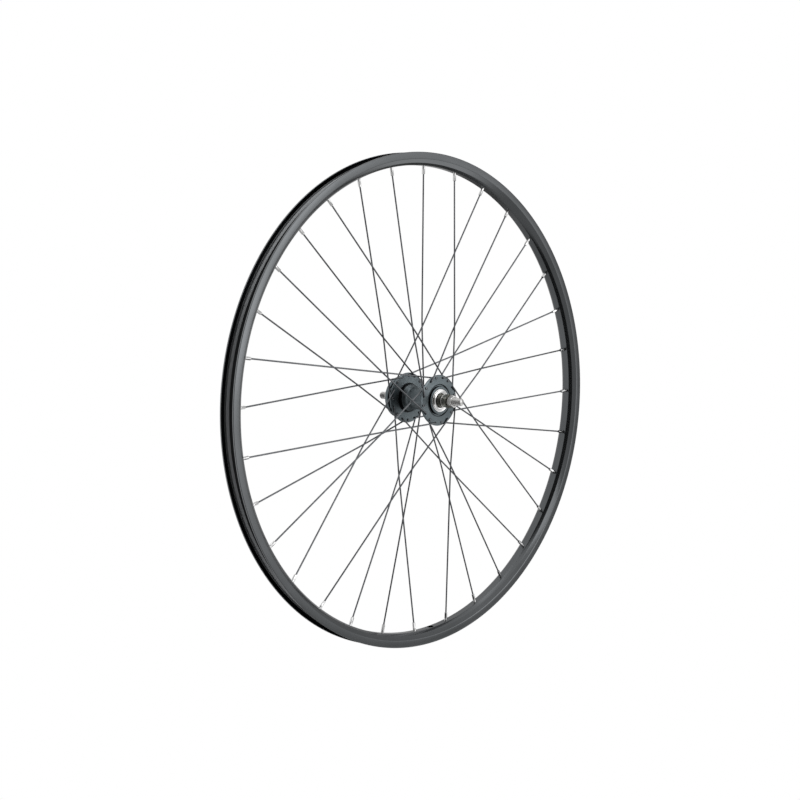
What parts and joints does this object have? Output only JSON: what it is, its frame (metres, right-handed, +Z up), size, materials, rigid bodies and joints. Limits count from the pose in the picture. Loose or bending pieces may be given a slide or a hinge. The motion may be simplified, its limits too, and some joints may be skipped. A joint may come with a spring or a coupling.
{
  "type": "spoked bicycle wheel",
  "caption": "Spoked front bicycle wheel: grooved double-wall rim with rim tape, crossed wire spokes, disc-brake hub on ball bearings and a solid nutted axle.",
  "frame": {"origin": "on the axle's centre line, midway between the two locknut faces", "axes": "+Y along the axle, towards the disc side; +Z up; +X completes the right-handed frame"},
  "size_m": [0.634, 0.144, 0.634],
  "materials": {
    "rim": "satin black anodised aluminium",
    "rim_tape": "matte woven tape",
    "spoke": "drawn stainless steel",
    "hub": "satin blue-grey anodised aluminium",
    "bearing_steel": "hardened and ground",
    "bright_metal": "bright plated",
    "dark_steel": "zinc with an olive tint",
    "axle_steel": "zinc plated, threaded"
  },
  "bodies": {
    "axle_assembly": {"axle": "axle_steel", "cone_plain_side": "dark_steel", "lock_washer_plain_side": "axle_steel", "locknut_plain_side": "dark_steel", "axle_washer_plain_side": "dark_steel", "axle_nut_plain_side": "axle_steel", "cone_disc_side": "dark_steel", "lock_washer_disc_side": "axle_steel", "locknut_disc_side": "dark_steel", "axle_washer_disc_side": "dark_steel", "axle_nut_disc_side": "axle_steel"},
    "wheel": {"rim": "rim", "rim_tape": "rim_tape", "spoke_01": "spoke", "spoke_02": "spoke", "spoke_03": "spoke", "spoke_04": "spoke", "spoke_05": "spoke", "spoke_06": "spoke", "spoke_07": "spoke", "spoke_08": "spoke", "spoke_09": "spoke", "spoke_10": "spoke", "spoke_11": "spoke", "spoke_12": "spoke", "spoke_13": "spoke", "spoke_14": "spoke", "spoke_15": "spoke", "spoke_16": "spoke", "spoke_17": "spoke", "spoke_18": "spoke", "spoke_19": "spoke", "spoke_20": "spoke", "spoke_21": "spoke", "spoke_22": "spoke", "spoke_23": "spoke", "spoke_24": "spoke", "spoke_25": "spoke", "spoke_26": "spoke", "spoke_27": "spoke", "spoke_28": "spoke", "spoke_29": "spoke", "spoke_30": "spoke", "spoke_31": "spoke", "spoke_32": "spoke", "hub_shell": "hub", "bearing_cup_plain_side": "bearing_steel", "dust_cap_plain_side": "bright_metal", "bearing_cup_disc_side": "bearing_steel", "dust_cap_disc_side": "bright_metal"},
    "balls_plain_side": {"ball_set_plain_side": "bearing_steel"},
    "balls_disc_side": {"ball_set_disc_side": "bearing_steel"}
  },
  "joints": [
    {"name": "wheel_spin", "type": "hinge", "parent": "axle_assembly", "child": "wheel", "pos_m": [0, 0, 0], "axis": [0, 1, 0], "continuous": true},
    {"name": "balls_plain_side_spin", "type": "hinge", "parent": "axle_assembly", "child": "balls_plain_side", "pos_m": [0, -0.0302, 0], "axis": [0, 1, 0], "continuous": true},
    {"name": "balls_disc_side_spin", "type": "hinge", "parent": "axle_assembly", "child": "balls_disc_side", "pos_m": [0, 0.0336, 0], "axis": [0, 1, 0], "continuous": true}
  ],
  "couplings": [
    {"joint": "balls_plain_side_spin", "follows": "wheel_spin", "ratio": 0.5859},
    {"joint": "balls_disc_side_spin", "follows": "wheel_spin", "ratio": 0.5859}
  ]
}
